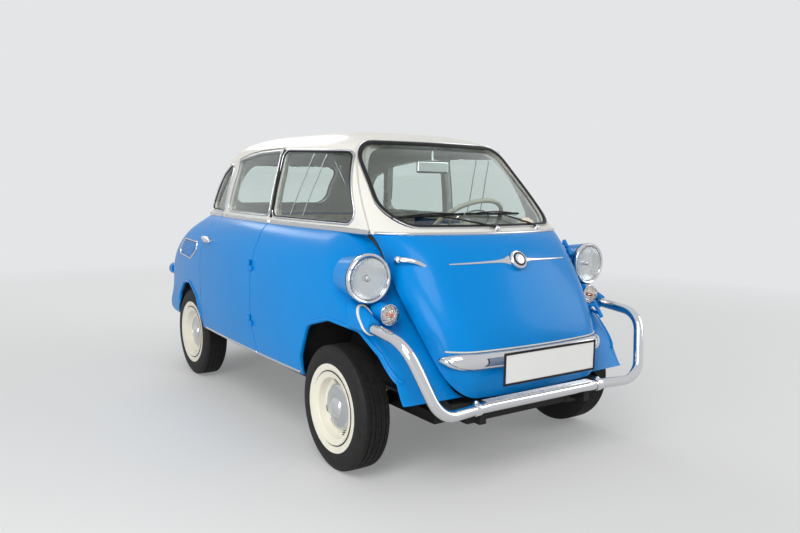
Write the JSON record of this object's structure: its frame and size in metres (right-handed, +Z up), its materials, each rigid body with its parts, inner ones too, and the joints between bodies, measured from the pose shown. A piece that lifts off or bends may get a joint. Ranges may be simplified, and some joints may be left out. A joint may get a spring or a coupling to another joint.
{
  "type": "bubble car",
  "caption": "Small four-wheeled bubble car with a full-width front door, one rear side door, a rounded two-tone body, hoop bumpers and pod headlamps.",
  "frame": {"origin": "on the ground, under the middle of the car's length and width", "axes": "+Z up, -Y towards the front of the car, +X towards the car's own left"},
  "size_m": [1.398, 2.8675, 1.3755],
  "materials": {
    "blue_enamel": "gloss",
    "white_enamel": "gloss",
    "glass": "gloss",
    "black_steel": "satin",
    "cast_engine": "matte",
    "exhaust_steel": "satin",
    "seat_cloth": "woven",
    "cream_plastic": "gloss",
    "chrome": "polished",
    "lamp_lens": "fluted",
    "turn_lens": "fluted",
    "tail_lens": "fluted",
    "plate_white": "gloss",
    "wiper_black": "matte",
    "mirror_glass": "polished",
    "tyre_rubber": "matte",
    "cream_wheel": "gloss"
  },
  "bodies": {
    "car": {"chassis_frame": "black_steel", "floor_pan": "black_steel", "wheel_wells": "black_steel", "side_left": "blue_enamel", "side_right": "blue_enamel", "rear_body": "blue_enamel", "roof": "white_enamel", "side_glass": "glass", "rear_glass": "glass", "front_axle": "black_steel", "rear_axle": "black_steel", "engine": "cast_engine", "exhaust": "exhaust_steel", "front_cushion": "seat_cloth", "front_backrest": "seat_cloth", "rear_cushion": "seat_cloth", "rear_backrest": "seat_cloth", "seat_bases": "black_steel", "steering_column": "black_steel", "headlamp_pods": "blue_enamel", "headlamps": "lamp_lens", "front_bosses": "blue_enamel", "turn_lamps": "turn_lens", "tail_lamps": "tail_lens", "front_bumper": "chrome", "rear_bumper": "chrome", "front_hinges": "blue_enamel"},
    "front_door": {"front_door_lower": "blue_enamel", "front_door_upper": "white_enamel", "windscreen": "glass", "front_blade": "chrome", "number_plate": "plate_white", "emblem": "chrome", "front_door_handle": "chrome", "wipers": "wiper_black", "inner_mirror": "mirror_glass", "dash_shelf": "cream_plastic"},
    "side_door": {"side_door_lower": "blue_enamel", "side_door_upper": "white_enamel", "side_door_glass": "glass", "side_door_handle": "chrome"},
    "lid": {"engine_lid": "blue_enamel"},
    "steering": {"steering_wheel": "cream_plastic"},
    "knuckle_l": {"knuckle_left": "black_steel"},
    "knuckle_r": {"knuckle_right": "black_steel"},
    "wheel_fl": {"tyre_front_left": "tyre_rubber", "rim_front_left": "cream_wheel"},
    "wheel_fr": {"tyre_front_right": "tyre_rubber", "rim_front_right": "cream_wheel"},
    "wheel_rl": {"tyre_rear_left": "tyre_rubber", "rim_rear_left": "cream_wheel"},
    "wheel_rr": {"tyre_rear_right": "tyre_rubber", "rim_rear_right": "cream_wheel"}
  },
  "joints": [
    {"name": "front_door_hinge", "type": "hinge", "parent": "car", "child": "front_door", "pos_m": [0.506, -1.10952, 0.72992], "axis": [0, 0.5985, 0.8012], "range_deg": [0, 75]},
    {"name": "side_door_hinge", "type": "hinge", "parent": "car", "child": "side_door", "pos_m": [-0.693, -0.158, 0.65], "axis": [0, 0, 1], "range_deg": [0, 65]},
    {"name": "engine_lid_hinge", "type": "hinge", "parent": "car", "child": "lid", "pos_m": [0, 1.108, 0.88], "axis": [1, 0, 0], "range_deg": [0, 65]},
    {"name": "steering_turn", "type": "hinge", "parent": "car", "child": "steering", "pos_m": [0.25, -0.59, 0.936], "axis": [0, 0.6429, 0.7659], "range_deg": [-432, 432]},
    {"name": "steer_left", "type": "hinge", "parent": "car", "child": "knuckle_l", "pos_m": [0.556, -0.905, 0.249], "axis": [0, 0, 1], "range_deg": [-27, 27]},
    {"name": "steer_right", "type": "hinge", "parent": "car", "child": "knuckle_r", "pos_m": [-0.556, -0.905, 0.249], "axis": [0, 0, 1], "range_deg": [-27, 27]},
    {"name": "spin_front_left", "type": "hinge", "parent": "knuckle_l", "child": "wheel_fl", "pos_m": [0.61, -0.905, 0.249], "axis": [1, 0, 0], "continuous": true},
    {"name": "spin_front_right", "type": "hinge", "parent": "knuckle_r", "child": "wheel_fr", "pos_m": [-0.61, -0.905, 0.249], "axis": [1, 0, 0], "continuous": true},
    {"name": "spin_rear_left", "type": "hinge", "parent": "car", "child": "wheel_rl", "pos_m": [0.58, 0.795, 0.249], "axis": [1, 0, 0], "continuous": true},
    {"name": "spin_rear_right", "type": "hinge", "parent": "car", "child": "wheel_rr", "pos_m": [-0.58, 0.795, 0.249], "axis": [1, 0, 0], "continuous": true}
  ],
  "couplings": [
    {"joint": "steer_right", "follows": "steer_left", "ratio": 1},
    {"joint": "steering_turn", "follows": "steer_left", "ratio": 16}
  ]
}
